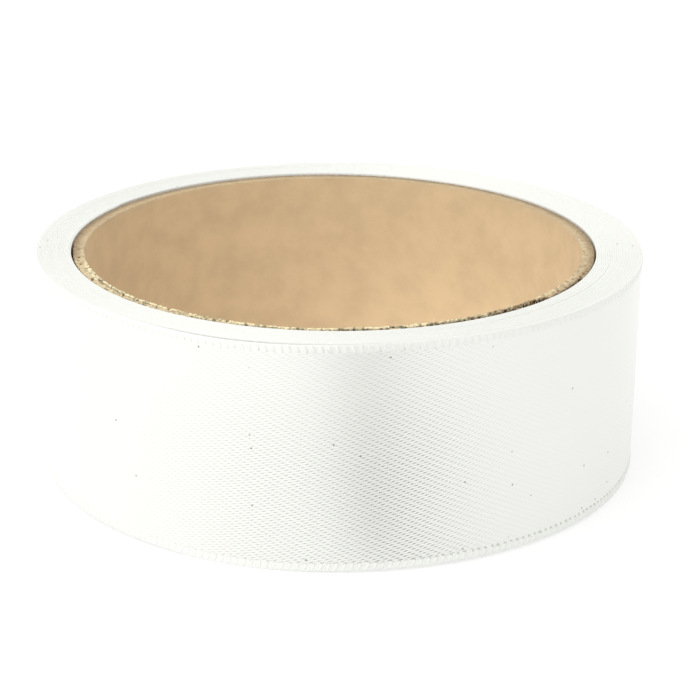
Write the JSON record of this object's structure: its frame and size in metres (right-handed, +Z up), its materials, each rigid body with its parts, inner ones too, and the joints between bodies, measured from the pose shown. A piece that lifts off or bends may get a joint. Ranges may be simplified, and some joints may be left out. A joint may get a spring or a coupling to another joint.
{
  "type": "roll of satin ribbon",
  "caption": "Plain off-white satin ribbon wound into a round roll on an open cardboard tube, standing on its flat end.",
  "frame": {"origin": "middle of the roll's footprint, on the surface it stands on", "axes": "+Z up along the tube, from the flat end it stands on to the other flat end; -Y is the side that faces the viewer, and the ribbon's cut end lies at +Y"},
  "size_m": [0.069, 0.069, 0.025],
  "materials": {
    "ribbon_satin": "glossy woven satin face with a dull corded edge, one colour",
    "core_board": "matt brown kraft board, cut edge rough and paler"
  },
  "bodies": {
    "root": {"ribbon_roll": "ribbon_satin", "cardboard_core": "core_board"}
  },
  "joints": []
}
